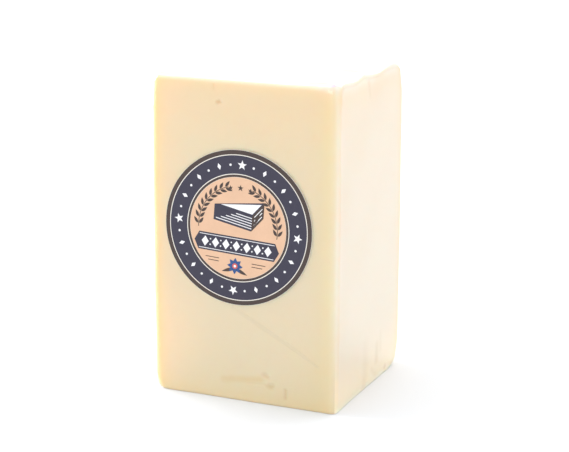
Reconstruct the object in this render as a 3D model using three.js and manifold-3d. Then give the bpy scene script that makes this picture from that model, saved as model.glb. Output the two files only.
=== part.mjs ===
// A retail block of sharp white cheddar, sealed in tight clear film, with a round paper label on its front.
// Millimetres, +Z up. The front looks along -Y and +X is to its right.
// The origin is on the floor, under the middle of the whole.
import * as THREE from "three";
import Module from "manifold-3d";
import { mergeVertices } from "three/addons/utils/BufferGeometryUtils.js";

const wasm = await Module();
wasm.setup();

// The wrapped block, measured square to its own faces
const blockWidth = 83;
const blockDepth = 74.5;
const blockHeight = 135.15;
const uprightRadius = 3.3;
const topRadius = 2.6;
const bottomRadius = 0.4;

// Grid lines over the block: a fine strip beside each edge, and even steps between the strips
const edgeBand = 8;
const edgeSteps = 5;
const bandPower = 1.3; // the strip's own lines crowd towards the edge
const middleSteps = { x: 12, y: 12, z: 20 };

// Soft unevenness of the cut faces
const faceCrown = 0.4;
const edgeCrown = 0.65; // the share of the crown that a face's upright edges keep
const waveHeight = 0.14;
const waveLength = 47;
const wavePhase = { front: 0.6, side: 1.9, top: 3.1 };
const topStart = 0.7; // the top's unevenness fades in from this share of the height
const footDrawnIn = 0.55; // the right face's foot
const footReach = 4; // up from the floor
const footFade = 16; // back from the front, over which it is drawn in

// Corners rounded off further than the edges: the side of the block in x, y and z, the added radius, and
// how far from the corner it reaches
const softCorners = [
  { side: [-1, -1, -1], radius: 2.2, reach: 7 },
  { side: [1, 1, -1], radius: 4.2, reach: 12 },
  { side: [-1, 1, -1], radius: 2.5, reach: 14 },
  { side: [-1, -1, 1], radius: 1.2, reach: 14 },
  { side: [1, -1, 1], radius: 0.8, reach: 14 },
  { side: [1, 1, 1], radius: 3.6, reach: 14 },
  { side: [-1, 1, 1], radius: 2, reach: 14 },
];

// Rises and dips along the top's right-hand edge: place from front to back, and height
const topRipples = [
  { y: -31, rise: 0.8 },
  { y: -20, rise: -0.5 },
  { y: -9, rise: 0.7 },
  { y: 4, rise: -0.8 },
  { y: 21, rise: 0.2 },
];
const rippleReach = 13; // along the edge
const rippleWidth = 26; // in from the edge

// Film creases stand proud of the faces as thin round ridges
const creaseRadius = 0.5;
const creaseHeight = 0.3;
const creaseDepth = 0.15; // cover over the ridge's buried ends
const creaseRise = 0.25; // share of its length in which a ridge comes up
const creaseStep = 3;
const creaseCurve = 4;
const frontCreases = [
  [[-4.9, 40.4], [8.7, 33.4], [24, 25.4], [34, 19.4]], // the long straight fold under the label
];
const sideCreases = [
  [[-1, 19], [-0.8, 12], [-0.6, 5]], // a pleat that runs down to the bottom edge
];

// Small pits in the front: across, up, and the radius of the ball that presses them
const pits = [
  [-10.2, 125.25, 1.3],
  [31.4, 114.45, 0.9],
  [10.2, 12.4, 1],
  [12.4, 7.9, 1.5],
  [19.2, 5.5, 1.1],
];
const pitSink = 0.4; // how far each ball goes in, as a share of its radius
const pitSides = { round: 10, up: 8 };

// The label, lying flat on the front
const labelRadius = 32.8;
const labelThickness = 0.4;
const labelGap = 0.3;
const labelAcross = -1.72; // from the front's upright middle line
const labelUp = 74.15; // above the floor
const labelSides = 72;
const labelRings = 4;

const halfWidth = blockWidth / 2;
const halfDepth = blockDepth / 2;

// How much of a soft hill is left at this distance from its top, down to nothing at its reach
function hill(distance, reach) {
  return Math.max(0, 1 - (distance / reach) ** 2) ** 2;
}

// How far a cut face stands proud of its flat plane, with both places running from -1 to 1
function crown(across, along) {
  return faceCrown * (1 - (1 - edgeCrown) * across ** 2) * (1 - along ** 2);
}

// Long shallow waves left by the cutting wire
function wave(across, along, phase) {
  const turn = (2 * Math.PI) / waveLength;
  return waveHeight * Math.sin(across * turn + phase) * Math.cos(along * turn - phase);
}

function frontProud(x, z) {
  return crown(x / halfWidth, (2 * z) / blockHeight - 1) + wave(x, z, wavePhase.front);
}

function sideProud(y, z) {
  return crown(y / halfDepth, (2 * z) / blockHeight - 1) + wave(y, z, wavePhase.side);
}

function topProud(x, y) {
  let proud = crown(x / halfWidth, y / halfDepth) + wave(x, y, wavePhase.top);
  for (const ripple of topRipples) {
    proud += ripple.rise * hill(y - ripple.y, rippleReach) * hill(x - halfWidth, rippleWidth);
  }
  return proud;
}

// Moves an evenly spaced grid line so that each edge strip gets its own few lines
function gridPlace(place, half, middle) {
  const share = place / half;
  const middleShare = middle / (middle + 2 * edgeSteps);
  if (Math.abs(share) <= middleShare) {
    return (share / middleShare) * (half - edgeBand);
  }
  const fromEdge = (1 - Math.abs(share)) / (1 - middleShare);
  return Math.sign(share) * (half - edgeBand * fromEdge ** bandPower);
}

// How much rounder the edges are at a point, near a soft corner
function softness(point) {
  let extra = 0;
  for (const soft of softCorners) {
    const [right, back, top] = soft.side;
    const corner = new THREE.Vector3(right * halfWidth, back * halfDepth, top > 0 ? blockHeight : 0);
    extra += soft.radius * hill(corner.distanceTo(point), soft.reach);
  }
  return extra;
}

// Draws a point of the plain box in onto the rounded box: its place in plan, then over the end's edge
function roundOff(point) {
  const extra = softness(point);
  const planRadius = uprightRadius + extra;
  const endRadius = (point.z > blockHeight / 2 ? topRadius : bottomRadius) + extra;
  const inner = new THREE.Vector2(
    THREE.MathUtils.clamp(point.x, planRadius - halfWidth, halfWidth - planRadius),
    THREE.MathUtils.clamp(point.y, planRadius - halfDepth, halfDepth - planRadius),
  );
  const outward = new THREE.Vector2(point.x, point.y).sub(inner);
  const fromInner = Math.max(Math.abs(outward.x), Math.abs(outward.y));
  const coreRadius = planRadius - endRadius;
  const fromMiddle = point.z - blockHeight / 2;
  const coreHeight = blockHeight / 2 - endRadius;
  const over = new THREE.Vector2(
    Math.max(0, fromInner - coreRadius),
    Math.max(0, Math.abs(fromMiddle) - coreHeight),
  );
  over.setLength(endRadius);
  outward.setLength(Math.min(fromInner, coreRadius) + over.x);
  point.x = inner.x + outward.x;
  point.y = inner.y + outward.y;
  if (over.y > 0) {
    point.z = blockHeight / 2 + Math.sign(fromMiddle) * (coreHeight + over.y);
  }
}

// Gives a rounded point the crown and waves of its face, the drawn-in foot and the ripples of the top.
// The bottom stays flat.
function makeUneven(point) {
  const { x, y, z } = point;
  const footShare = hill(z, footReach) * THREE.MathUtils.clamp((y + halfDepth) / footFade, 0, 1);
  point.x += (x / halfWidth) * sideProud(y, z);
  point.x -= footDrawnIn * footShare * Math.max(0, x / halfWidth) ** 3;
  point.y += (y / halfDepth) * frontProud(x, z);
  point.z += THREE.MathUtils.smoothstep(z / blockHeight, topStart, 1) * topProud(x, y);
}

function toSolid(geometry) {
  geometry.deleteAttribute("normal");
  geometry.deleteAttribute("uv");
  const merged = mergeVertices(geometry);
  const mesh = new wasm.Mesh({
    numProp: 3,
    vertProperties: new Float32Array(merged.attributes.position.array),
    triVerts: new Uint32Array(merged.index.array),
  });
  return new wasm.Manifold(mesh);
}

function toGeometry(solid) {
  const mesh = solid.getMesh();
  const geometry = new THREE.BufferGeometry();
  geometry.setAttribute("position", new THREE.BufferAttribute(mesh.vertProperties, 3));
  geometry.setIndex(new THREE.BufferAttribute(mesh.triVerts, 1));
  geometry.computeVertexNormals();
  return geometry;
}

function roundedBlock() {
  const steps = {};
  for (const axis of ["x", "y", "z"]) {
    steps[axis] = middleSteps[axis] + 2 * edgeSteps;
  }
  const geometry = new THREE.BoxGeometry(blockWidth, blockDepth, blockHeight, steps.x, steps.y, steps.z);
  const places = geometry.attributes.position;
  const point = new THREE.Vector3();
  for (let i = 0; i < places.count; i += 1) {
    point.fromBufferAttribute(places, i);
    point.x = gridPlace(point.x, halfWidth, middleSteps.x);
    point.y = gridPlace(point.y, halfDepth, middleSteps.y);
    point.z = gridPlace(point.z, blockHeight / 2, middleSteps.z) + blockHeight / 2;
    roundOff(point);
    makeUneven(point);
    places.setXYZ(i, point.x, point.y, point.z);
  }
  return toSolid(geometry);
}

// Places on the film's surface, raised by the given height
function onFront([x, z], height) {
  return new THREE.Vector3(x, -halfDepth - frontProud(x, z) - height, z);
}

function onSide([y, z], height) {
  return new THREE.Vector3(halfWidth + sideProud(y, z) + height, y, z);
}

// A thin ridge along a face, with both ends running out into the film
function crease(points, onFace) {
  const route = new THREE.SplineCurve(points.map(([across, up]) => new THREE.Vector2(across, up)));
  const steps = Math.max(4, Math.round(route.getLength() / creaseStep));
  const buried = -creaseRadius - creaseDepth;
  const raised = creaseHeight - creaseRadius;
  const path = [];
  for (let i = 0; i <= steps; i += 1) {
    const place = route.getPointAt(i / steps);
    const fromEnd = Math.min(i, steps - i) / steps;
    const height = THREE.MathUtils.lerp(buried, raised, Math.min(1, fromEnd / creaseRise));
    path.push(onFace([place.x, place.y], height));
  }
  const section = new THREE.Shape().absarc(0, 0, creaseRadius, 0, 2 * Math.PI);
  const geometry = new THREE.ExtrudeGeometry(section, {
    steps,
    curveSegments: creaseCurve,
    extrudePath: new THREE.CatmullRomCurve3(path),
    bevelEnabled: false,
  });
  return toSolid(geometry);
}

function pitBall([x, z, radius]) {
  const ball = new THREE.SphereGeometry(radius, pitSides.round, pitSides.up);
  const middle = onFront([x, z], radius * (1 - pitSink));
  ball.translate(middle.x, middle.y, middle.z);
  return toSolid(ball);
}

function wrappedBlock() {
  let solid = roundedBlock();
  for (const points of frontCreases) {
    solid = solid.add(crease(points, onFront));
  }
  for (const points of sideCreases) {
    solid = solid.add(crease(points, onSide));
  }
  for (const pit of pits) {
    solid = solid.subtract(pitBall(pit));
  }
  return toGeometry(solid);
}

// A thin paper disc that follows the front's slight crown
function labelDisc() {
  const profile = [];
  for (let i = 0; i <= labelRings; i += 1) {
    profile.push(new THREE.Vector2((labelRadius * i) / labelRings, -labelGap - labelThickness));
  }
  for (let i = labelRings; i >= 0; i -= 1) {
    profile.push(new THREE.Vector2((labelRadius * i) / labelRings, -labelGap));
  }
  const geometry = new THREE.LatheGeometry(profile, labelSides);
  geometry.translate(labelAcross, 0, labelUp);
  const places = geometry.attributes.position;
  for (let i = 0; i < places.count; i += 1) {
    const proud = frontProud(places.getX(i), places.getZ(i));
    places.setY(i, places.getY(i) - halfDepth - proud);
  }
  return toGeometry(toSolid(geometry));
}

const cheeseMaterial = new THREE.MeshStandardMaterial({ color: 0xf0e1c2, roughness: 0.42, metalness: 0 });
const labelMaterial = new THREE.MeshStandardMaterial({ color: 0x4a4656, roughness: 0.55, metalness: 0 });

function named(name, geometry, material) {
  const mesh = new THREE.Mesh(geometry, material);
  mesh.name = name;
  return mesh;
}

const cheddar = new THREE.Group();
cheddar.add(named("wrapped_cheddar", wrappedBlock(), cheeseMaterial));
cheddar.add(named("round_label", labelDisc(), labelMaterial));
const reach = new THREE.Box3().setFromObject(cheddar, true);
const middle = reach.getCenter(new THREE.Vector3());
cheddar.position.set(-middle.x, -middle.y, -reach.min.z);

export default cheddar;
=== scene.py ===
import math

import bmesh
import bpy
from mathutils import Matrix, Vector
from mathutils.geometry import intersect_point_line


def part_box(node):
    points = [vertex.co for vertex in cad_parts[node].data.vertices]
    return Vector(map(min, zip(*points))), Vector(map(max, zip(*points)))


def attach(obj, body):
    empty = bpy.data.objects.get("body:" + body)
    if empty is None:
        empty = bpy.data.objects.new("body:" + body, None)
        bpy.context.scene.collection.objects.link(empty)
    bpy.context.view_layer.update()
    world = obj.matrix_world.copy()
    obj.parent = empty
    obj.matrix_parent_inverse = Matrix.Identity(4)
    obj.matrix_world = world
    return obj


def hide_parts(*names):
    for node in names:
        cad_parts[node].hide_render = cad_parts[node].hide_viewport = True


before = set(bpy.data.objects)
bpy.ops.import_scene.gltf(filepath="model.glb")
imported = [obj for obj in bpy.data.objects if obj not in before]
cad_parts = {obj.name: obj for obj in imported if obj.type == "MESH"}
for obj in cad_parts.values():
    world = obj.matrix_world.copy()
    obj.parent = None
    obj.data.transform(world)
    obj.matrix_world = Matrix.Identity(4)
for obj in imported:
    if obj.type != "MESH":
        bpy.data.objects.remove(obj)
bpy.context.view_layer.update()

# A block of sharp white cheddar in tight clear film, with a round paper label on its front.
# The front looks along -Y and +X is to its right. Forms are worked out in millimetres, in the
# block's own frame, and become metres as each mesh is made.
mm = 0.001


# Camera: the photograph's view, with the small shift of an off-centre crop
view = {
    "azimuth": 24.24,  # degrees to the right of the front
    "elevation": 14.61,  # degrees above the floor
    "distance": 711.9,
    "target": (11.7, -36.9, 77.6),  # a point on the front face
    "lens": 112.1,
    "sensor": 36,
    "shift": (0.0278, -0.0051),
}


def fromTarget(target, azimuth, elevation, distance):
    turn, lift = math.radians(azimuth), math.radians(elevation)
    level = distance * math.cos(lift)
    away = Vector((level * math.sin(turn), -level * math.cos(turn), distance * math.sin(lift)))
    return Vector(target) + away


def aim(thing, place, target):
    thing.location = place * mm
    thing.rotation_euler = (Vector(target) - place).to_track_quat("-Z", "Y").to_euler()
    bpy.context.scene.collection.objects.link(thing)


lens = bpy.data.cameras.new("camera")
lens.lens = view["lens"]
lens.sensor_width = view["sensor"]
lens.shift_x, lens.shift_y = view["shift"]
lens.clip_start, lens.clip_end = 0.01, 50
camera = bpy.data.objects.new("camera", lens)
cameraPlace = fromTarget(view["target"], view["azimuth"], view["elevation"], view["distance"])
aim(camera, cameraPlace, view["target"])
bpy.context.scene.camera = camera
print("camera in place")


# The block's form, as the film shows it
block = {
    "width": 83,
    "depth": 74.5,
    "height": 135.15,
    "uprightRadius": 3.3,
    "topRadius": 2.6,
    "bottomRadius": 0.4,
    "sideFoot": (0.55, 4, 16),  # how far the right foot is drawn in, how high, and its fade forward
    "crown": 0.4,  # how far the middle of a cut face stands proud
    "edgeCrown": 0.65,  # the share of it that its upright edges keep
    "waveHeight": 0.14,
    "waveLength": 47,
    "wavePhase": {"front": 0.6, "side": 1.9, "top": 3.1},
    "topStart": 0.7,  # the top's unevenness fades in from this share of the height
    "softCorners": [  # side of the block in x, y and z, the added radius and how far it reaches
        ((-1, -1, -1), 2.2, 7),
        ((1, 1, -1), 4.2, 12),
        ((-1, 1, -1), 2.5, 14),
        ((-1, -1, 1), 1.2, 14),
        ((1, -1, 1), 0.8, 14),
        ((1, 1, 1), 3.6, 14),
        ((-1, 1, 1), 2, 14),
    ],
    "topRipples": [(-31, 0.8), (-20, -0.5), (-9, 0.7), (4, -0.8), (21, 0.2)],  # place and rise
    "rippleReach": 13,
    "rippleWidth": 26,
}
halfWidth = block["width"] / 2
halfDepth = block["depth"] / 2
height = block["height"]


def hill(distance, reach):
    return max(0, 1 - (distance / reach) ** 2) ** 2


def crown(across, along):
    return block["crown"] * (1 - (1 - block["edgeCrown"]) * across ** 2) * (1 - along ** 2)


def wave(across, along, face):
    turn = 2 * math.pi / block["waveLength"]
    phase = block["wavePhase"][face]
    return block["waveHeight"] * math.sin(across * turn + phase) * math.cos(along * turn - phase)


def frontProud(x, z):
    return crown(x / halfWidth, 2 * z / height - 1) + wave(x, z, "front")


def sideProud(y, z):
    return crown(y / halfDepth, 2 * z / height - 1) + wave(y, z, "side")


def topProud(x, y):
    proud = crown(x / halfWidth, y / halfDepth) + wave(x, y, "top")
    besideRight = hill(x - halfWidth, block["rippleWidth"])
    for place, rise in block["topRipples"]:
        proud += rise * hill(y - place, block["rippleReach"]) * besideRight
    return proud


def softness(point):
    extra = 0
    for (right, back, top), radius, reach in block["softCorners"]:
        corner = Vector((right * halfWidth, back * halfDepth, height if top > 0 else 0))
        extra += radius * hill((corner - point).length, reach)
    return extra


def clamp(value, low, high):
    return min(max(value, low), high)


def wrappedPoint(x, y, z):  # a point of the plain box, drawn in onto the rounded, uneven one
    extra = softness(Vector((x, y, z)))
    planRadius = block["uprightRadius"] + extra
    endRadius = block["topRadius" if z > height / 2 else "bottomRadius"] + extra
    inner = Vector((
        clamp(x, planRadius - halfWidth, halfWidth - planRadius),
        clamp(y, planRadius - halfDepth, halfDepth - planRadius),
    ))
    outward = Vector((x, y)) - inner
    fromInner = max(abs(outward.x), abs(outward.y))
    coreRadius = planRadius - endRadius
    coreHeight = height / 2 - endRadius
    fromMiddle = z - height / 2
    over = Vector((max(0, fromInner - coreRadius), max(0, abs(fromMiddle) - coreHeight)))
    over = over.normalized() * endRadius
    outward = outward.normalized() * (min(fromInner, coreRadius) + over.x)
    x, y = inner + outward
    if over.y > 0:
        z = height / 2 + math.copysign(coreHeight + over.y, fromMiddle)
    drawnIn, reach, fade = block["sideFoot"]
    x -= drawnIn * hill(z, reach) * clamp((y + halfDepth) / fade, 0, 1) * max(0, x / halfWidth) ** 3
    rise = clamp((z / height - block["topStart"]) / (1 - block["topStart"]), 0, 1)
    rise = rise * rise * (3 - 2 * rise)  # eased at both ends
    return Vector((
        x + x / halfWidth * sideProud(y, z),
        y + y / halfDepth * frontProud(x, z),
        z + rise * topProud(x, y),
    ))


def onFace(face, across, up, lift):  # a place on the wrapped surface, raised by lift
    if face == "front":
        return Vector((across, -halfDepth - frontProud(across, up) - lift, up))
    if face == "back":
        return Vector((across, halfDepth + frontProud(across, up) + lift, up))
    if face == "right":
        return Vector((halfWidth + sideProud(across, up) + lift, across, up))
    if face == "left":
        return Vector((-halfWidth - sideProud(across, up) - lift, across, up))
    return Vector((across, up, height + topProud(across, up) + lift))


# Marks that the film and the cut have left in the cheese
marks = [  # face, route on it, reach, depth and how much warmer the cheese is there
    ("front", [(-9, 8.4), (0, 9.5), (8, 10.5)], 2.4, 0.1, 0.6),
    ("front", [(2, 8.15), (10.6, 8.55)], 0.7, 0.15, 0.15),
    ("front", [(9.6, 12.75), (10.8, 12.15)], 1.6, 0.4, 0.5),
    ("front", [(12.1, 8.15), (12.6, 7.65)], 2, 0.5, 0.6),
    ("front", [(13.7, 9.05), (13.9, 8.25)], 1.2, 0.2, 0.4),
    ("front", [(19.2, 7.25), (19.2, 4.25)], 1.4, 0.35, 0.6),
    ("front", [(-10.6, 125.05), (-9.8, 125.45)], 1.3, 0.6, 0.5),
    ("front", [(-12.6, 132.25), (-12.5, 130.45)], 0.9, 0.2, 0.3),
    ("front", [(31.4, 115.65), (31.4, 113.45)], 1.2, 0.2, 0.25),
    ("right", [(-5.7, 20), (-5.2, 10), (-5.2, 1)], 4.4, 0.14, 0.3),
    ("right", [(-1, 19), (-0.6, 5)], 3, -0.08, 0),
    ("right", [(9, 16), (8.6, 10)], 3.6, 0.18, 0.55),
    ("right", [(13, 20), (13.4, 13)], 2.8, 0.12, 0.3),
    ("right", [(2.6, 6.65), (8, 3.05)], 2, 0.15, 0.25),
    ("right", [(19.4, 3.25), (20.4, 1.85)], 1.6, 0.4, 0.4),
    ("right", [(-4.4, 131.2), (-3.2, 126.4)], 2.4, 0.15, 0.6),
    ("back", [(4, 6), (14, 8.5)], 2.2, 0.15, 0.3),
    ("back", [(-6, 127.5), (-5.4, 126.9)], 1.3, 0.4, 0.4),
    ("left", [(3, 15), (3.6, 2)], 3.4, 0.15, 0.22),
    ("left", [(12, 8), (15, 6)], 1.8, 0.2, 0.3),
]


def fromRoute(route, across, up):  # distance from a route of straight stretches
    spot = Vector((across, up, 0))
    nearest = math.inf
    for start, end in zip(route, route[1:]):
        start, end = Vector((*start, 0)), Vector((*end, 0))
        share = clamp(intersect_point_line(spot, start, end)[1], 0, 1)
        nearest = min(nearest, (spot - start.lerp(end, share)).length)
    return nearest


def pressedAt(face, across, up):  # depth of the cheese's marks at a place, and their warmth
    depth, warmth = 0, 0
    for markFace, route, reach, most, stain in marks:
        levels = [place[1] for place in route]
        if markFace == face and min(levels) - reach < up < max(levels) + reach:
            share = hill(fromRoute(route, across, up), reach)
            depth += most * share
            warmth = max(warmth, stain * share)
    return depth, warmth


# Grid over the box: fine strips where there are edges and marks, wider steps between them
grid = {"fine": 0.45, "coarse": 1.5, "growth": 0.45, "edge": 4}
fineSpans = {"x": [(-13.5, 21)], "y": [(-7, 21)], "z": [(2, 16), (124, 133)]}


def gridLines(low, high, spans):
    spans = spans + [(low, low + grid["edge"]), (high - grid["edge"], high)]
    lines = [low]
    while lines[-1] < high:
        here = lines[-1]
        away = min(max(start - here, here - end, 0) for start, end in spans)
        lines.append(here + min(grid["coarse"], grid["fine"] + away * grid["growth"]))
    stretch = (high - low) / (lines[-1] - low)
    return [low + (line - low) * stretch for line in lines]


def boxShell(xs, ys, zs, shape):
    places, points, faces = {}, [], []

    def corner(i, j, k):
        if (i, j, k) not in places:
            places[i, j, k] = len(points)
            points.append(shape(xs[i], ys[j], zs[k]))
        return places[i, j, k]

    lastX, lastY, lastZ = len(xs) - 1, len(ys) - 1, len(zs) - 1
    for i in range(lastX):
        for k in range(lastZ):
            for j, order in ((0, 1), (lastY, -1)):
                ring = [corner(i, j, k), corner(i + 1, j, k), corner(i + 1, j, k + 1), corner(i, j, k + 1)]
                faces.append(ring[::order])
    for j in range(lastY):
        for k in range(lastZ):
            for i, order in ((0, -1), (lastX, 1)):
                ring = [corner(i, j, k), corner(i, j + 1, k), corner(i, j + 1, k + 1), corner(i, j, k + 1)]
                faces.append(ring[::order])
    for i in range(lastX):
        for j in range(lastY):
            for k, order in ((0, -1), (lastZ, 1)):
                ring = [corner(i, j, k), corner(i + 1, j, k), corner(i + 1, j + 1, k), corner(i, j + 1, k)]
                faces.append(ring[::order])
    return points, faces


xLines = gridLines(-halfWidth, halfWidth, fineSpans["x"])
yLines = gridLines(-halfDepth, halfDepth, fineSpans["y"])
zLines = gridLines(0, height, fineSpans["z"])
wrappedPoints, shellFaces = boxShell(xLines, yLines, zLines, wrappedPoint)
nodeLow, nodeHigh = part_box("wrapped_cheddar")
ownMiddle = Vector((
    (min(p.x for p in wrappedPoints) + max(p.x for p in wrappedPoints)) / 2,
    (min(p.y for p in wrappedPoints) + max(p.y for p in wrappedPoints)) / 2,
    0,
))
nodeMiddle = (nodeLow + nodeHigh) / 2 / mm
offset = Vector((nodeMiddle.x, nodeMiddle.y, 0)) - ownMiddle  # from the block's frame to the model's
print("surface worked out:", len(shellFaces), "faces")


def linkPiece(name, mesh, material):
    mesh.materials.append(material)
    piece = bpy.data.objects.new(name, mesh)
    bpy.context.scene.collection.objects.link(piece)
    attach(piece, "root")
    return piece


def makePiece(name, points, faces, material):
    mesh = bpy.data.meshes.new(name)
    mesh.from_pydata([(point + offset) * mm for point in points], [], faces)
    mesh.polygons.foreach_set("use_smooth", [True] * len(mesh.polygons))
    mesh.update()
    return linkPiece(name, mesh, material)


# Node helpers
def addNode(tree, kind, inputs=None, **settings):
    node = tree.nodes.new(kind)
    for name, value in settings.items():
        setattr(node, name, value)
    for name, value in (inputs or {}).items():
        node.inputs[name].default_value = value
    return node


def startMaterial(name):
    material = bpy.data.materials.new(name)
    material.use_nodes = True
    tree = material.node_tree
    tree.nodes.clear()
    output = addNode(tree, "ShaderNodeOutputMaterial")
    shader = addNode(tree, "ShaderNodeBsdfPrincipled")
    tree.links.new(shader.outputs[0], output.inputs[0])
    return material, tree, shader, output


def startGroup(name, inputs, outputs):
    tree = bpy.data.node_groups.new(name, "ShaderNodeTree")
    for label, value in inputs.items():
        socket = tree.interface.new_socket(label, in_out="INPUT", socket_type="NodeSocketFloat")
        socket.default_value = value
    for label, kind in outputs.items():
        tree.interface.new_socket(label, in_out="OUTPUT", socket_type=kind)
    return tree, addNode(tree, "NodeGroupInput"), addNode(tree, "NodeGroupOutput")


def placeGroup(tree, group, **inputs):
    node = addNode(tree, "ShaderNodeGroup", node_tree=group)
    for name, value in inputs.items():
        node.inputs[name].default_value = value
    return node


def ramp(tree, source, stops):
    node = addNode(tree, "ShaderNodeValToRGB")
    elements = node.color_ramp.elements
    while len(elements) < len(stops):
        elements.new(0.5)
    for element, (place, tone) in zip(elements, stops):
        element.position = place
        element.color = (*tone, 1) if isinstance(tone, tuple) else (tone, tone, tone, 1)
    tree.links.new(source, node.inputs[0])
    return node.outputs[0]


def math2(tree, kind, first, second):
    node = addNode(tree, "ShaderNodeMath", operation=kind)
    for socket, value in zip(node.inputs, (first, second)):
        if isinstance(value, bpy.types.NodeSocket):
            tree.links.new(value, socket)
        else:
            socket.default_value = value
    return node.outputs[0]


def mixColour(tree, share, first, second, blend="MIX"):
    node = addNode(tree, "ShaderNodeMix", data_type="RGBA", blend_type=blend)
    sockets = (node.inputs[0], node.inputs[6], node.inputs[7])  # the share and the two colours
    for socket, value in zip(sockets, (share, first, second)):
        if isinstance(value, bpy.types.NodeSocket):
            tree.links.new(value, socket)
        elif isinstance(value, (int, float)):
            socket.default_value = value
        else:
            socket.default_value = (*value, 1)
    return node.outputs[2]


# The cheese: pale cream and slightly waxy, with faint marbling, tiny pores and warmer pressed spots, and
# with painted light and painted shade worked into its colour
cheese = {
    "inset": 0.15,  # how far it lies under the film
    "core": 4,  # it is drawn in towards a box this far inside the block
    "colour": (0.757, 0.63, 0.424),
    "veinColour": (0.735, 0.596, 0.39),
    "stainColour": (0.72, 0.54, 0.275),
    "endPaintedLight": (1.05, 1.06, 1.33),  # painted light: what the colour is multiplied by on the top and underneath, so that the top reads paler, as if strongly lit
    "paintedHeightShading": [  # painted light and shade by height: share of the height, and what the colour is multiplied by there; warmer and brighter near the top, a little darker low down
        (0, (0.98, 1, 1)),
        (0.3, (0.97, 0.99, 1)),
        (0.6, (0.99, 0.99, 0.99)),
        (0.8, (1.01, 1.005, 0.97)),
        (0.9, (1.05, 1.01, 0.95)),
        (1, (1.06, 1.02, 0.96)),
    ],
    "rims": [  # painted light and shade: face, edge, reach, and what the colour is multiplied by right beside it
        # painted glow along the edges, where light would come through the cheese
        ("front", "left", 8, (1.02, 1.03, 0.7)),
        ("front", "left", 20, (1.09, 1.01, 0.98)),
        ("front", "top", 8, (1.03, 1.02, 0.92)),
        ("front", "bottom", 12, (1.01, 1, 0.92)),
        # painted shade in a thin line along the front's foot
        ("front", "bottom", 1.2, (0.86, 0.8, 0.78)),
        ("back", "left", 9, (1.04, 1.02, 0.88)),
        ("back", "right", 9, (1.04, 1.02, 0.88)),
        ("back", "top", 8, (1.03, 1.02, 0.92)),
        # painted light and shade on the right face, lighter low down and at its foot
        ("right", "right", 10, (1.03, 0.95, 0.6)),
        ("right", "top", 18, (1.02, 0.98, 0.86)),
        ("right", "bottom", 26, (1.27, 1.22, 1.15)),
        ("right", "bottom", 3.5, (1.07, 1.12, 1.29)),
        ("left", "left", 9, (1.04, 1.02, 0.88)),
        ("left", "right", 9, (1.04, 1.02, 0.85)),
        ("left", "top", 7, (1.03, 1.02, 0.92)),
    ],
    "paintedShadingPatches": [  # painted light and shade: face, place and reach of a broad patch, and its tint
        ("front", -38, 26, 32, (1.08, 1.03, 1)),
        ("front", 38, 14, 26, (1, 0.98, 0.93)),
        ("right", -11, 129, 11, (1, 0.995, 0.93)),
        ("left", 0, 68, 1000, (0.76, 0.72, 0.78)),  # painted shade over all of that face
    ],
    "topPale": (2.7, (1.15, 1.38, 2.1)),  # painted sheen: reach and tint that make the top's edges paler
    "topPaleRight": (2.8, 6),  # how much wider that reach gets, and over what distance from the right
    "topPaleCorner": (8, 0.85),  # how near the corner the tint gives way, and by how much
    "cornerPale": (4.5, 7, (1, 0.975, 1.28)),  # painted light: how far left of the near top corner, reach and tint
    "leftPale": (1.7, (0.9, 0.78, 1.55)),  # painted light: reach and tint along the upright edge at the front's left
    "nearEdge": [  # painted light: place round the near upright edge (the right face is below 0), tint, tint at the floor
        (-12, (1.045, 1.016, 1), (1.045, 1.016, 1)),
        (-5, (1.055, 1.018, 1), (1.05, 1.02, 0.99)),
        (-3.3, (1.107, 1.094, 1.145), (1.03, 1, 1)),
        (-1.8, (1.18, 1.25, 1.46), (0.98, 0.99, 1.04)),
        (-0.6, (1.18, 1.29, 1.57), (0.97, 0.98, 1.03)),
        (0.6, (1.11, 1.2, 1.33), (1, 1.02, 1.06)),
        (1.8, (1.05, 1.112, 1.12), (0.98, 1.015, 1)),
        (3.3, (1.032, 1.059, 0.987), (0.99, 1.01, 0.97)),
        (5, (1.027, 1.03, 0.914), (0.99, 1, 0.94)),
        (8, (1.006, 1.002, 0.945), (0.98, 0.995, 0.94)),
        (14, (1, 1, 1), (0.99, 1, 0.99)),
    ],
    "nearFoot": 46,  # height over which the tint at the floor gives way to the other
    "noiseScale": {"wander": 45, "patches": 28, "grain": 900},  # for each metre
    "curdSize": 9,
    "curdBend": 8,  # how far the veins between the curds wander
    "veinFade": [(0, 1), (0.09, 0.25), (0.3, 0)],  # share of the curd's size, and how much of the vein
    "veinShare": 0.35,
    "patchFade": [(0.35, 0), (0.65, 1)],
    "patchShare": 0.3,
    "patchLift": 1.02,
    "poreSize": 2.2,
    "poreFade": [(0.05, 0), (0.22, 1)],
    "relief": {"pores": 0.5, "grain": 0.4, "veins": 0.5},  # share of each in the height
    "bump": {"Strength": 0.25, "Distance": 0.08 * mm},
    "glow": (1.3, 0.8, 0.6),  # how far red, green and blue light travel under the surface
    "glowReach": 3.2,
    "roughness": 0.42,
    "roughnessSpread": 0.2,
}


def cheeseVeins(tree, place):  # thin seams between the curds
    scale = cheese["noiseScale"]["wander"]
    swirl = addNode(tree, "ShaderNodeTexNoise", {"Scale": scale, "Detail": 3, "Roughness": 0.5})
    tree.links.new(place, swirl.inputs["Vector"])
    bent = addNode(tree, "ShaderNodeVectorMath", operation="MULTIPLY_ADD")
    bent.inputs[1].default_value = [cheese["curdBend"] * mm] * 3
    tree.links.new(swirl.outputs["Color"], bent.inputs[0])
    tree.links.new(place, bent.inputs[2])
    scale = 1 / (cheese["curdSize"] * mm)
    curd = addNode(tree, "ShaderNodeTexVoronoi", {"Scale": scale}, feature="DISTANCE_TO_EDGE")
    tree.links.new(bent.outputs[0], curd.inputs["Vector"])
    return ramp(tree, curd.outputs["Distance"], cheese["veinFade"])


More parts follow.
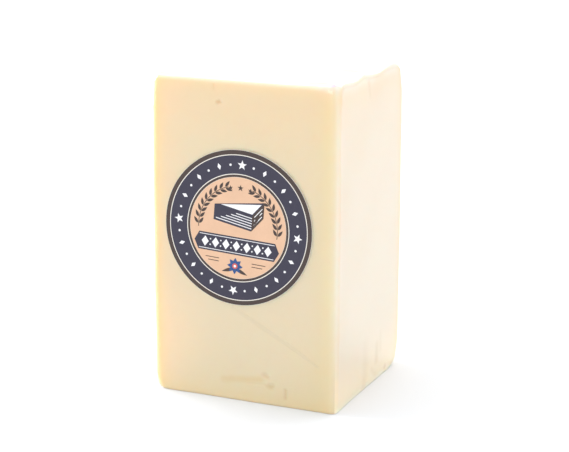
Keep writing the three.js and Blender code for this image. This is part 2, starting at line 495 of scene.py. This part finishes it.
def cheeseColour(tree, place, vein):
    scale = cheese["noiseScale"]["patches"]
    patch = addNode(tree, "ShaderNodeTexNoise", {"Scale": scale, "Detail": 4, "Roughness": 0.55})
    tree.links.new(place, patch.inputs["Vector"])
    patches = ramp(tree, patch.outputs[0], cheese["patchFade"])
    veinShare = math2(tree, "MULTIPLY", vein, math2(tree, "MULTIPLY", patches, cheese["veinShare"]))
    colour = mixColour(tree, veinShare, cheese["colour"], cheese["veinColour"])
    patchShare = math2(tree, "MULTIPLY", patches, cheese["patchShare"])
    paler = tuple(channel * cheese["patchLift"] for channel in cheese["colour"])
    colour = mixColour(tree, patchShare, colour, paler)
    # painted light and shade, worked out for each point, multiplies the colour
    paintedShading = addNode(tree, "ShaderNodeAttribute", attribute_name="paintedShading").outputs["Vector"]
    colour = mixColour(tree, 1, colour, paintedShading, "MULTIPLY")
    stain = addNode(tree, "ShaderNodeAttribute", attribute_name="stain").outputs["Fac"]
    colour = mixColour(tree, stain, colour, cheese["stainColour"])
    # painted light and shade by height multiplies the colour
    parts = addNode(tree, "ShaderNodeSeparateXYZ")
    tree.links.new(place, parts.inputs[0])
    tint = ramp(tree, math2(tree, "DIVIDE", parts.outputs["Z"], height * mm), cheese["paintedHeightShading"])
    return mixColour(tree, 1, colour, tint, "MULTIPLY")


def cheeseRelief(tree, place, vein):  # the height of the pores, grain and veins, and the grain alone
    relief = cheese["relief"]
    pore = addNode(tree, "ShaderNodeTexVoronoi", {"Scale": 1 / (cheese["poreSize"] * mm)})
    tree.links.new(place, pore.inputs["Vector"])
    pores = ramp(tree, pore.outputs["Distance"], cheese["poreFade"])
    grain = addNode(tree, "ShaderNodeTexNoise", {"Scale": cheese["noiseScale"]["grain"], "Detail": 3})
    tree.links.new(place, grain.inputs["Vector"])
    rise = math2(tree, "MULTIPLY_ADD", pores, relief["pores"])
    tree.links.new(math2(tree, "MULTIPLY", grain.outputs[0], relief["grain"]), rise.node.inputs[2])
    return math2(tree, "SUBTRACT", rise, math2(tree, "MULTIPLY", vein, relief["veins"])), grain.outputs[0]


def cheeseMaterial():
    material, tree, shader, _ = startMaterial("white_cheddar")
    links = tree.links
    place = addNode(tree, "ShaderNodeTexCoord").outputs["Object"]
    vein = cheeseVeins(tree, place)
    links.new(cheeseColour(tree, place, vein), shader.inputs["Base Color"])
    rise, grain = cheeseRelief(tree, place, vein)
    bump = addNode(tree, "ShaderNodeBump", cheese["bump"])
    links.new(rise, bump.inputs["Height"])
    links.new(bump.outputs[0], shader.inputs["Normal"])
    shine = math2(tree, "MULTIPLY_ADD", grain, cheese["roughnessSpread"])
    shine.node.inputs[2].default_value = cheese["roughness"] - cheese["roughnessSpread"] / 2
    links.new(shine, shader.inputs["Roughness"])
    shader.inputs["Subsurface Weight"].default_value = 1
    shader.inputs["Subsurface Radius"].default_value = cheese["glow"]
    shader.inputs["Subsurface Scale"].default_value = cheese["glowReach"] * mm
    shader.inputs["IOR"].default_value = 1.45
    shader.inputs["Specular IOR Level"].default_value = 0.35
    return material


def fall(gap, reach):  # from 1 at an edge to nearly nothing at its reach
    return math.exp(-((gap * 1.7 / reach) ** 2))


def partTint(tint, share):
    return Vector((1, 1, 1)).lerp(Vector(tint), share)


def paintedShadingAt(face, across, up, half):  # painted light and shade: what the colour is multiplied by beside a face's edges and over its broad patches
    gaps = {"left": across + half, "right": half - across, "top": height - up, "bottom": up}
    tint = Vector((1, 1, 1))
    for rimFace, edge, reach, rimTint in cheese["rims"]:
        if rimFace == face:
            tint *= partTint(rimTint, fall(max(0, gaps[edge]), reach))
    for washFace, washAcross, washUp, reach, washTint in cheese["paintedShadingPatches"]:
        if washFace == face:
            tint *= partTint(washTint, hill(math.hypot(across - washAcross, up - washUp), reach))
    return tint


def nearTint(point):  # painted light: what the colour is multiplied by round the near upright edge
    around = halfWidth - point.x - (point.y + halfDepth)
    rise = clamp(point.z / cheese["nearFoot"], 0, 1)
    stops = []
    for place, above, foot in cheese["nearEdge"]:
        stops.append((place, Vector(foot).lerp(Vector(above), rise)))
    low, tint = stops[0]
    for high, nextTint in stops[1:]:
        tint = tint.lerp(nextTint, clamp((around - low) / (high - low), 0, 1))
        low = high
    return tint


def paleAt(point, face):  # the near edge's painted light, and the edges painted paler: a painted glow where light comes through, and a painted sheen along the top's edges
    tint = nearTint(point) if face in ("front", "right") else Vector((1, 1, 1))
    gaps = Vector((max(0, halfWidth - abs(point.x)), max(0, halfDepth - abs(point.y))))
    reach, topTint = cheese["topPale"]
    wider, overWidth = cheese["topPaleRight"]
    reach += wider * clamp(1 - (halfWidth - point.x) / overWidth, 0, 1)
    nearness, loss = cheese["topPaleCorner"]
    most = 1 - loss * hill(math.hypot(point.x - halfWidth, point.y + halfDepth), nearness)
    fromTop = math.hypot(max(0, height - point.z), min(gaps))
    tint *= partTint(topTint, most * fall(fromTop, reach))
    aside, reach, cornerTint = cheese["cornerPale"]
    corner = Vector((halfWidth - aside, -halfDepth, height))
    tint *= partTint(cornerTint, fall((point - corner).length, reach))
    if point.x < 0 and point.y < 0:
        reach, leftTint = cheese["leftPale"]
        tint *= partTint(leftTint, fall(gaps.length, reach))
    return tint


def makeCheese():
    stains, rims = [], []
    core = cheese["core"]

    def cheesePoint(x, y, z):
        point = wrappedPoint(x, y, z)
        inward = Vector((
            clamp(point.x, core - halfWidth, halfWidth - core),
            clamp(point.y, core - halfDepth, halfDepth - core),
            min(point.z, height - core),
        )) - point
        # the top and underside start from their painted light
        face, pressed, stain, paintedShading = "end", 0, 0, Vector(cheese["endPaintedLight"])
        if abs(y) == halfDepth:
            face = "front" if y < 0 else "back"
            pressed, stain = pressedAt(face, point.x, point.z)
            paintedShading = paintedShadingAt(face, point.x, point.z, halfWidth)
        elif abs(x) == halfWidth:
            face = "right" if x > 0 else "left"
            pressed, stain = pressedAt(face, point.y, point.z)
            paintedShading = paintedShadingAt(face, point.y, point.z, halfDepth)
        stains.append(stain)
        # each point's painted light and shade
        rims.extend(paintedShading * paleAt(point, face))
        return point + inward.normalized() * (cheese["inset"] + pressed)

    points, faces = boxShell(xLines, yLines, zLines, cheesePoint)
    piece = makePiece("cheddar_block", points, faces, cheeseMaterial())
    attributes = piece.data.attributes
    attributes.new("stain", "FLOAT", "POINT").data.foreach_set("value", stains)
    attributes.new("paintedShading", "FLOAT_VECTOR", "POINT").data.foreach_set("vector", rims)
    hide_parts("wrapped_cheddar")


makeCheese()
print("cheese made")


# The clear film: a thin shell that only adds gloss and a little haze, with folds lying on it
film = {
    "haze": 0.015,
    "roughness": 0.13,
    "ior": 1.5,
    "sheen": 1.8,  # how many times one surface's reflection it gives
    "mostSheen": 0.3,
    "rippleSize": 14,
    "rippleDepth": 0.35,
    "rippleStretch": 0.35,  # the scale's share upright, so that ripples are longer that way
    "fineRipple": (5, 0.08),  # how many times smaller than the broad ones, and how high beside them
    "foldHaze": 0.008,
    "foldSheen": 0.3,
    "foldColour": (0.82, 0.72, 0.52),
    "foldStep": 0.8,  # length of a fold between two of its cross-sections
    "foldProfile": (-1, -0.6, -0.25, 0, 0.25, 0.6, 1),  # shares of half its width
    "foldFoot": (0.01, -0.03),  # where its foot and its underside lie, from the film
    "foldCrease": 40,  # degrees between two of its faces that still look smooth
}
folds = [  # face, route on it, width and height
    ("front", [(-4.9, 40.4), (8.7, 33.4), (24, 25.4), (34, 19.4)], 2, 0.07),
]


def rippleGroup():
    tree, inlet, outlet = startGroup(
        "film_ripple",
        {"Size": 14, "Depth": 0.05},
        {"Normal": "NodeSocketVector", "Cloud": "NodeSocketFloat"},
    )
    links = tree.links
    place = addNode(tree, "ShaderNodeTexCoord").outputs["Object"]
    pulled = addNode(tree, "ShaderNodeMapping", {"Scale": (1, 1, film["rippleStretch"])})
    links.new(place, pulled.inputs["Vector"])
    scale = math2(tree, "DIVIDE", 1 / mm, inlet.outputs["Size"])
    broad = addNode(tree, "ShaderNodeTexNoise", {"Detail": 2, "Roughness": 0.45})
    links.new(pulled.outputs[0], broad.inputs["Vector"])
    links.new(scale, broad.inputs["Scale"])
    close = addNode(tree, "ShaderNodeTexNoise", {"Detail": 1, "Roughness": 0.4})
    links.new(pulled.outputs[0], close.inputs["Vector"])
    smaller, share = film["fineRipple"]
    links.new(math2(tree, "MULTIPLY", scale, smaller), close.inputs["Scale"])
    relief = math2(tree, "MULTIPLY_ADD", close.outputs[0], share)
    links.new(broad.outputs[0], relief.node.inputs[2])
    bump = addNode(tree, "ShaderNodeBump", {"Strength": 1})
    links.new(math2(tree, "MULTIPLY", inlet.outputs["Depth"], mm), bump.inputs["Distance"])
    links.new(relief, bump.inputs["Height"])
    links.new(bump.outputs[0], outlet.inputs["Normal"])
    links.new(broad.outputs[0], outlet.inputs["Cloud"])
    return tree


filmRipple = rippleGroup()


def filmMaterial(name, haze, sheen, colour, mirror):
    material, tree, shader, output = startMaterial(name)
    links = tree.links
    ripple = placeGroup(tree, filmRipple, Size=film["rippleSize"], Depth=film["rippleDepth"])
    shader.inputs["Base Color"].default_value = (*colour, 1)
    shader.inputs["Metallic"].default_value = 1 if mirror else 0
    shader.inputs["Roughness"].default_value = film["roughness"]
    links.new(ripple.outputs["Normal"], shader.inputs["Normal"])
    clear = addNode(tree, "ShaderNodeBsdfTransparent")
    blend = addNode(tree, "ShaderNodeMixShader")
    behind = addNode(tree, "ShaderNodeNewGeometry").outputs["Backfacing"]
    bend = math2(tree, "MULTIPLY_ADD", behind, 1 / film["ior"] - film["ior"])  # alike from both sides
    bend.node.inputs[2].default_value = film["ior"]
    facing = addNode(tree, "ShaderNodeFresnel")
    links.new(bend, facing.inputs["IOR"])
    cloud = math2(tree, "MULTIPLY", ripple.outputs["Cloud"], haze * 2)
    shine = math2(tree, "MINIMUM", math2(tree, "MULTIPLY", facing.outputs[0], sheen), film["mostSheen"])
    links.new(math2(tree, "ADD", shine, cloud), blend.inputs[0])
    links.new(clear.outputs[0], blend.inputs[1])
    links.new(shader.outputs[0], blend.inputs[2])
    links.new(blend.outputs[0], output.inputs[0])
    return material


def foldPoints(face, places, width, most):  # cross-sections of a fold, a bell over a flat underside
    route = [Vector((*place, 0)) for place in places]
    lengths = [(b - a).length for a, b in zip(route, route[1:])]
    count = max(6, round(sum(lengths) / film["foldStep"]))
    foot, underside = film["foldFoot"]
    rows = []
    for step in range(count + 1):
        travel = sum(lengths) * step / count
        leg = 0
        while leg < len(lengths) - 1 and travel > lengths[leg]:
            travel -= lengths[leg]
            leg += 1
        spot = route[leg].lerp(route[leg + 1], travel / lengths[leg])
        along = (route[leg + 1] - route[leg]).normalized()
        across = Vector((-along.y, along.x, 0))
        taper = math.sin(math.pi * clamp(step / count, 0.02, 0.98)) ** 0.5
        row = []
        for share in film["foldProfile"]:
            place = spot + across * (share * width / 2 * (0.5 + 0.5 * taper))
            row.append(onFace(face, place.x, place.y, foot + most * taper * hill(share, 1.05)))
        row.append(onFace(face, spot.x, spot.y, underside))
        rows.append(row)
    return rows


def makeFilm():
    material = filmMaterial("film_clear", film["haze"], film["sheen"], (1, 1, 1), True)
    shell = makePiece("clear_film", wrappedPoints, shellFaces, material)
    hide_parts("wrapped_cheddar")
    points, faces = [], []
    for fold in folds:
        rows = foldPoints(*fold)
        around = len(rows[0])
        start = len(points)
        for row in rows:
            points.extend(row)
        for i in range(len(rows) - 1):
            for j in range(around):
                a, b = start + i * around + j, start + i * around + (j + 1) % around
                faces.append((a, b, b + around, a + around))
        faces.append(tuple(range(start + around - 1, start - 1, -1)))
        last = start + (len(rows) - 1) * around
        faces.append(tuple(range(last, last + around)))
    material = filmMaterial("film_fold", film["foldHaze"], film["foldSheen"], film["foldColour"], False)
    piece = makePiece("film_folds", points, faces, material)
    cleaner = bmesh.new()
    cleaner.from_mesh(piece.data)
    bmesh.ops.recalc_face_normals(cleaner, faces=cleaner.faces)
    cleaner.to_mesh(piece.data)
    cleaner.free()
    piece.data.set_sharp_from_angle(angle=math.radians(film["foldCrease"]))
    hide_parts("wrapped_cheddar")


makeFilm()
print("film made")


# The label: a cream paper disc with flat fields of ink and plain ornament on it
label = {
    "node": "round_label",
    "across": -1.72,
    "up": 74.15,
    "radius": 32.8,
    "turn": -4,  # degrees
    "pull": (124.8, 0.984, 1.007),  # direction in degrees, and its stretch along and across it
    "paper": (0.03, 0.32),  # underside and face, above the film
    "ink": 0.02,  # thickness of one layer
    "inkGap": 0.01,  # between the paper and the first layer
    "layerStep": 0.03,
    "sides": 144,
    "core": 1.5,  # radius of the flat field in the middle of a disc
    "dotSides": 16,
    "leafSteps": 8,
    "starWaist": 0.42,  # a star's inner radius, as a share of its outer one
    "patchStep": 2.8,
    "weld": 0.001,  # corners closer than this become one
    "fibreScale": 2600,
    "cloudScale": 160,
    "mottle": 0.25,
    "relief": 0.012,
}
inks = {  # colour and roughness
    "paper_cream": ((0.86, 0.82, 0.74), 0.5),
    "charcoal": ((0.060, 0.040, 0.034), 0.42),
    "navy": ((0.036, 0.033, 0.058), 0.42),
    "peach": ((0.73, 0.47, 0.31), 0.48),
    "cream": ((0.86, 0.86, 0.88), 0.48),
    "blue": ((0.025, 0.08, 0.24), 0.42),
    "red": ((0.62, 0.12, 0.10), 0.45),
}


def paperGroup():
    tree, inlet, outlet = startGroup(
        "paper_fibre",
        {"Mottle": 0.06, "Relief": 0.01},
        {"Tone": "NodeSocketFloat", "Gloss": "NodeSocketFloat", "Normal": "NodeSocketVector"},
    )
    links = tree.links
    place = addNode(tree, "ShaderNodeTexCoord").outputs["Object"]
    scale = label["fibreScale"]
    fibre = addNode(tree, "ShaderNodeTexNoise", {"Scale": scale, "Detail": 4, "Roughness": 0.6})
    links.new(place, fibre.inputs["Vector"])
    cloud = addNode(tree, "ShaderNodeTexNoise", {"Scale": label["cloudScale"], "Detail": 2})
    links.new(place, cloud.inputs["Vector"])
    both = math2(tree, "MULTIPLY_ADD", fibre.outputs[0], 0.5)
    links.new(math2(tree, "MULTIPLY", cloud.outputs[0], 0.5), both.node.inputs[2])
    around = math2(tree, "SUBTRACT", both, 0.5)
    links.new(math2(tree, "MULTIPLY", around, inlet.outputs["Mottle"]), outlet.inputs["Tone"])
    links.new(math2(tree, "MULTIPLY", around, 0.3), outlet.inputs["Gloss"])
    bump = addNode(tree, "ShaderNodeBump", {"Strength": 0.5})
    links.new(math2(tree, "MULTIPLY", inlet.outputs["Relief"], mm), bump.inputs["Distance"])
    links.new(both, bump.inputs["Height"])
    links.new(bump.outputs[0], outlet.inputs["Normal"])
    return tree


paperFibre = paperGroup()


def inkMaterial(name):
    colour, roughness = inks[name]
    material, tree, shader, _ = startMaterial("print_" + name)
    links = tree.links
    fibre = placeGroup(tree, paperFibre, Mottle=label["mottle"], Relief=label["relief"])
    shade = addNode(tree, "ShaderNodeHueSaturation", {"Color": (*colour, 1)})
    links.new(math2(tree, "ADD", fibre.outputs["Tone"], 1.0), shade.inputs["Value"])
    links.new(shade.outputs[0], shader.inputs["Base Color"])
    links.new(math2(tree, "ADD", fibre.outputs["Gloss"], roughness), shader.inputs["Roughness"])
    links.new(fibre.outputs["Normal"], shader.inputs["Normal"])
    shader.inputs["Specular IOR Level"].default_value = 0.4
    return material


def polar(radius, degrees):
    angle = math.radians(degrees)
    return radius * math.cos(angle), radius * math.sin(angle)


def ringShape(inner, outer, start=0, end=360):
    count = max(4, round(label["sides"] * (end - start) / 360))
    bands = max(1, round((outer - inner) / label["patchStep"]))
    shapes = []
    for i in range(count):
        a, b = start + (end - start) * i / count, start + (end - start) * (i + 1) / count
        for j in range(bands):
            low = inner + (outer - inner) * j / bands
            high = inner + (outer - inner) * (j + 1) / bands
            shapes.append([polar(low, a), polar(high, a), polar(high, b), polar(low, b)])
    return shapes


def discShape(radius):
    core = min(label["core"], radius / 2)
    middle = [polar(core, 360 * i / label["sides"]) for i in range(label["sides"])]
    return ringShape(core, radius) + [middle]


def placed(outline, across, up, turn=0):
    c, s = math.cos(math.radians(turn)), math.sin(math.radians(turn))
    return [(across + x * c - y * s, up + x * s + y * c) for x, y in outline]


def dotShape(across, up, radius):
    sides = label["dotSides"]
    return placed([polar(radius, 360 * i / sides) for i in range(sides)], across, up)


def lozengeShape(across, up, width, tall, turn=0):
    outline = [(width / 2, 0), (0, tall / 2), (-width / 2, 0), (0, -tall / 2)]
    return placed(outline, across, up, turn)


def starShape(across, up, radius, turn=0, points=5):
    radii = (radius, radius * label["starWaist"])
    outline = [polar(radii[i % 2], 90 + 180 * i / points) for i in range(2 * points)]
    return placed(outline, across, up, turn)


def leafShape(across, up, length, width, turn):
    shares = [i / label["leafSteps"] for i in range(label["leafSteps"] + 1)]
    upper = [(length * share, width / 2 * math.sin(math.pi * share ** 0.8)) for share in shares]
    lower = [(x, -y) for x, y in upper[-2:0:-1]]
    return placed(upper + lower, across, up, turn)


def patchShape(corners, columns, rows=1):  # a four-sided field, cut so that it can follow the face
    a, b, c, d = (Vector(corner) for corner in corners)

    def spot(i, j):
        return tuple(a.lerp(b, i / columns).lerp(d.lerp(c, i / columns), j / rows))

    return [
        [spot(i, j), spot(i + 1, j), spot(i + 1, j + 1), spot(i, j + 1)]
        for i in range(columns)
        for j in range(rows)
    ]


def stripShape(start, stop, thick):
    start, stop = Vector(start), Vector(stop)
    along = stop - start
    aside = Vector((-along.y, along.x)).normalized() * thick / 2
    count = max(1, round(along.length / label["patchStep"]))
    return patchShape([start - aside, stop - aside, stop + aside, start + aside], count)


def layFlat(name, shapes, layer, ink):  # shapes in the label's own plane, laid on the front
    underside, face = label["paper"]
    base = face + label["inkGap"] + (layer - 1) * label["layerStep"] if layer else underside
    thickness = label["ink"] if layer else face - underside
    flat = bmesh.new()
    for shape in shapes:
        flat.faces.new([flat.verts.new((x, y, 0)) for x, y in shape])
    bmesh.ops.remove_doubles(flat, verts=flat.verts, dist=label["weld"])
    grown = bmesh.ops.extrude_face_region(flat, geom=flat.faces[:])["geom"]
    for part in grown:
        if isinstance(part, bmesh.types.BMVert):
            part.co.z = thickness
    pull, along, aside = label["pull"]
    toPull = Matrix.Rotation(math.radians(label["turn"] - pull), 2)
    fromPull = Matrix.Rotation(math.radians(pull), 2)
    middle = Vector((label["across"], label["up"]))
    for vert in flat.verts:
        turned = toPull @ vert.co.xy
        spot = middle + fromPull @ Vector((turned.x * along, turned.y * aside))
        vert.co = (onFace("front", *spot, base + vert.co.z) + offset) * mm
    bmesh.ops.recalc_face_normals(flat, faces=flat.faces)
    mesh = bpy.data.meshes.new(name)
    flat.to_mesh(mesh)
    flat.free()
    piece = linkPiece(name, mesh, inkMaterial(ink))
    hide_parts(label["node"])


design = {  # places are from the label's middle
    "border": (30.85, 32.7),
    "band": (22.85, 30.5),
    "innerLine": (21.5, 22.5),
    "field": 21.4,
    "beads": {
        "ring": 26.6,
        "count": 32,
        "starEvery": 8,
        "star": 2.1,
        "lozenge": (1.6, 2.8),
        "dot": 0.5,
    },
    "sprays": {
        "radius": 17.6,
        "span": (108, 186),  # degrees
        "stem": 0.3,
        "leaves": 9,
        "leaf": (3.2, 1.25),
        "leans": ((-55, 0.3), (-125, -0.3)),  # degrees, and how far from the stem
    },
    "stars": {"count": 3, "step": 4.4, "up": 17, "dip": 0.5, "radius": 1.4, "loss": 0.3, "lean": 12},
    "wedge": {
        "tip": (-11, 8.8),
        "near": (6, 6.2),
        "far": (11, 12.4),
        "tall": 6.6,
        "top": [(-8.2, 9), (6, 6.8), (9.8, 11.5)],
        "sideLines": (5, 0.34),  # how many, and how thick
        "sideStart": (0.06, 0.13),  # where the first one starts, and how much later each next one
        "endLines": (3, 0.3),
        "endSpan": (0.2, 0.85),
    },
    "plate": {
        "up": -7.6,
        "tall": 7.6,
        "half": 17,
        "point": 2,
        "margin": (0.2, 0.8),  # of its lines, from its ends and from its edges
        "line": 0.26,
        "lozenges": 7,
        "step": 4.7,
        "lozenge": (3.2, 4.4),
        "dot": (1.2, 0.32),  # rise and radius
    },
    "rules": {"inner": 7.4, "outer": 13.5, "up": -14, "step": 1.3, "thick": 0.3},
    "flower": {
        "place": (0, -16.2),
        "petals": 8,
        "petal": (3.5, 1.9),
        "leaf": (6.2, 1.5),
        "leafTurns": (-20, -160),
        "leafDrop": 1,
        "heart": 1.2,
        "eye": 0.55,
    },
}


def beadShapes():
    beads = design["beads"]
    shapes = []
    for i in range(beads["count"]):
        angle = 90 + 360 * i / beads["count"]
        across, up = polar(beads["ring"], angle)
        if i % beads["starEvery"] == 0:
            shapes.append(starShape(across, up, beads["star"], angle - 90))
        elif i % 2 == 0:
            shapes.append(lozengeShape(across, up, *beads["lozenge"], angle - 90))
        else:
            shapes.append(dotShape(across, up, beads["dot"]))
    return shapes


def sprayShapes():  # a leafy spray and its mirror image
    spray = design["sprays"]
    (start, end), radius, stem = spray["span"], spray["radius"], spray["stem"]
    shapes = ringShape(radius - stem / 2, radius + stem / 2, start, end)
    for i in range(spray["leaves"]):
        angle = start + (end - start) * (i + 0.5) / spray["leaves"]
        for lean, reach in spray["leans"]:
            shapes.append(leafShape(*polar(radius + reach, angle), *spray["leaf"], angle + lean))
    return [[(x * side, y) for x, y in shape] for side in (1, -1) for shape in shapes]


def starShapes():  # a short row over the wedge, smaller to its ends
    stars = design["stars"]
    shapes = []
    for i in range(stars["count"]):
        place = i - (stars["count"] - 1) / 2
        up = stars["up"] - abs(place) * stars["dip"]
        radius = stars["radius"] - abs(place) * stars["loss"]
        shapes.append(starShape(place * stars["step"], up, radius, -place * stars["lean"]))
    return shapes


def wedgeShapes():  # a cut wedge: its long cut side, its rind end and its top
    wedge = design["wedge"]
    tip, near, far = (Vector(wedge[name]) for name in ("tip", "near", "far"))
    drop = Vector((0, -wedge["tall"]))
    side = patchShape([tip + drop, near + drop, near, tip], columns=7, rows=3)
    side += patchShape([tip, near, far, far], columns=6, rows=3)
    end = [[tuple(corner) for corner in (near + drop, far + drop, far, near)]]
    light = [wedge["top"]]
    count, thick = wedge["sideLines"]
    first, later = wedge["sideStart"]
    for i in range(count):
        level = drop * (1 - (i + 1) / (count + 1))
        light += stripShape(tip.lerp(near, first + later * i) + level, near + level, thick)
    count, thick = wedge["endLines"]
    start, stop = (near.lerp(far, share) for share in wedge["endSpan"])
    for i in range(count):
        level = drop * (i + 1) / (count + 1)
        light += stripShape(start + level, stop + level, thick)
    return side, end, light


def plateShapes():  # a long plate with pointed ends and a row of lozenges
    plate = design["plate"]
    up, half = plate["up"], plate["half"]
    low, high = up - plate["tall"] / 2, up + plate["tall"] / 2
    dark = patchShape([(-half, low), (half, low), (half, high), (-half, high)], columns=13, rows=2)
    for side in (1, -1):
        dark.append([(side * half, low), (side * (half + plate["point"]), up), (side * half, high)])
    light = []
    fromEnd, fromEdge = plate["margin"]
    for edge in (low + fromEdge, high - fromEdge):
        light += stripShape((fromEnd - half, edge), (half - fromEnd, edge), plate["line"])
    rise, radius = plate["dot"]
    last = plate["lozenges"] // 2
    for i in range(-last, last + 1):
        across = i * plate["step"]
        light.append(lozengeShape(across, up, *plate["lozenge"]))
        if i < last:
            between = across + plate["step"] / 2
            light += [dotShape(between, up + side * rise, radius) for side in (1, -1)]
    return dark, light


def ruleShapes():  # two short rules on each side of the flower
    rules = design["rules"]
    shapes = []
    for side in (1, -1):
        for row in range(2):
            down = row * rules["step"]
            start = (side * rules["inner"], rules["up"] - down)
            stop = (side * (rules["outer"] - down), rules["up"] - down)
            shapes += stripShape(start, stop, rules["thick"])
    return shapes


def flowerShapes():
    flower = design["flower"]
    across, up = flower["place"]
    turns = [360 * i / flower["petals"] for i in range(flower["petals"])]
    petals = [leafShape(across, up, *flower["petal"], turn) for turn in turns]
    foot = up - flower["leafDrop"]
    leaves = [leafShape(across, foot, *flower["leaf"], turn) for turn in flower["leafTurns"]]
    return petals, leaves, [dotShape(across, up, flower["heart"])], [dotShape(across, up, flower["eye"])]


def makeLabel():
    wedgeSide, wedgeEnd, wedgeLight = wedgeShapes()
    plateDark, plateLight = plateShapes()
    petals, leaves, heart, eye = flowerShapes()
    darkLines = sprayShapes() + wedgeEnd + ruleShapes() + starShapes() + leaves
    layFlat("label_paper", discShape(label["radius"]), 0, "paper_cream")
    layFlat("label_border", ringShape(*design["border"]) + ringShape(*design["innerLine"]), 1, "charcoal")
    layFlat("label_band", ringShape(*design["band"]), 1, "navy")
    layFlat("label_field", discShape(design["field"]), 1, "peach")
    layFlat("label_sprays", darkLines, 2, "charcoal")
    layFlat("label_wedge_and_plate", wedgeSide + plateDark, 2, "navy")
    layFlat("label_light_lines", beadShapes() + wedgeLight + plateLight, 3, "cream")
    layFlat("label_petals", petals, 3, "blue")
    layFlat("label_flower_heart", heart, 4, "red")
    layFlat("label_flower_eye", eye, 5, "cream")


makeLabel()
print("label made")


# The floor and the lights
studio = {
    "floorHalf": 6,  # metres
    "floorColour": (0.766, 0.788, 0.822),
    "floorRoughness": 0.9,
    "floorGlow": 0.045,  # a faintly lit table, so that shadows on it stay soft
    "backdrop": 1.05,  # strength of the white that the camera sees
    "ambient": 0.86,
    "target": (0, 0, 60),
    "lights": [  # name, azimuth, elevation, distance, size (mm) and strength (W)
        ("back_low", 204, 16, 1200, 1000, 1.8),
        ("top_left", 285, 65, 1100, 900, 2),
        ("back_right", 160, 50, 1100, 1000, 6.2),
        ("left_panel", 265, 20, 1000, 700, 10),
        ("front_low", 0, 12, 1500, 900, 4.1),
    ],
}


def makeFloor():
    material, _, shader, _ = startMaterial("studio_floor")
    shader.inputs["Base Color"].default_value = (*studio["floorColour"], 1)
    shader.inputs["Roughness"].default_value = studio["floorRoughness"]
    shader.inputs["Specular IOR Level"].default_value = 0.1
    shader.inputs["Emission Color"].default_value = (1, 1, 1, 1)
    shader.inputs["Emission Strength"].default_value = studio["floorGlow"]
    half = studio["floorHalf"]
    corners = [(-half, -half, 0), (half, -half, 0), (half, half, 0), (-half, half, 0)]
    mesh = bpy.data.meshes.new("floor")
    mesh.from_pydata(corners, [], [(0, 1, 2, 3)])
    mesh.materials.append(material)
    floor = bpy.data.objects.new("floor", mesh)
    bpy.context.scene.collection.objects.link(floor)


def makeLights():
    for name, azimuth, elevation, distance, size, strength in studio["lights"]:
        lamp = bpy.data.lights.new(name, "AREA")
        lamp.shape = "SQUARE"
        lamp.size = size * mm
        lamp.energy = strength
        light = bpy.data.objects.new(name, lamp)
        aim(light, fromTarget(studio["target"], azimuth, elevation, distance), studio["target"])


def makeBackdrop():  # white to the camera, and a little softer as light
    world = bpy.data.worlds.new("studio")
    world.use_nodes = True
    tree = world.node_tree
    tree.nodes.clear()
    white = (1, 1, 1, 1)
    seen = addNode(tree, "ShaderNodeBackground", {"Color": white, "Strength": studio["backdrop"]})
    soft = addNode(tree, "ShaderNodeBackground", {"Color": white, "Strength": studio["ambient"]})
    path = addNode(tree, "ShaderNodeLightPath")
    blend = addNode(tree, "ShaderNodeMixShader")
    output = addNode(tree, "ShaderNodeOutputWorld")
    tree.links.new(path.outputs["Is Camera Ray"], blend.inputs[0])
    tree.links.new(soft.outputs[0], blend.inputs[1])
    tree.links.new(seen.outputs[0], blend.inputs[2])
    tree.links.new(blend.outputs[0], output.inputs[0])
    bpy.context.scene.world = world
    bpy.context.scene.view_settings.view_transform = "Standard"
    bpy.context.scene.view_settings.look = "None"


makeFloor()
makeLights()
makeBackdrop()
print("studio set up")
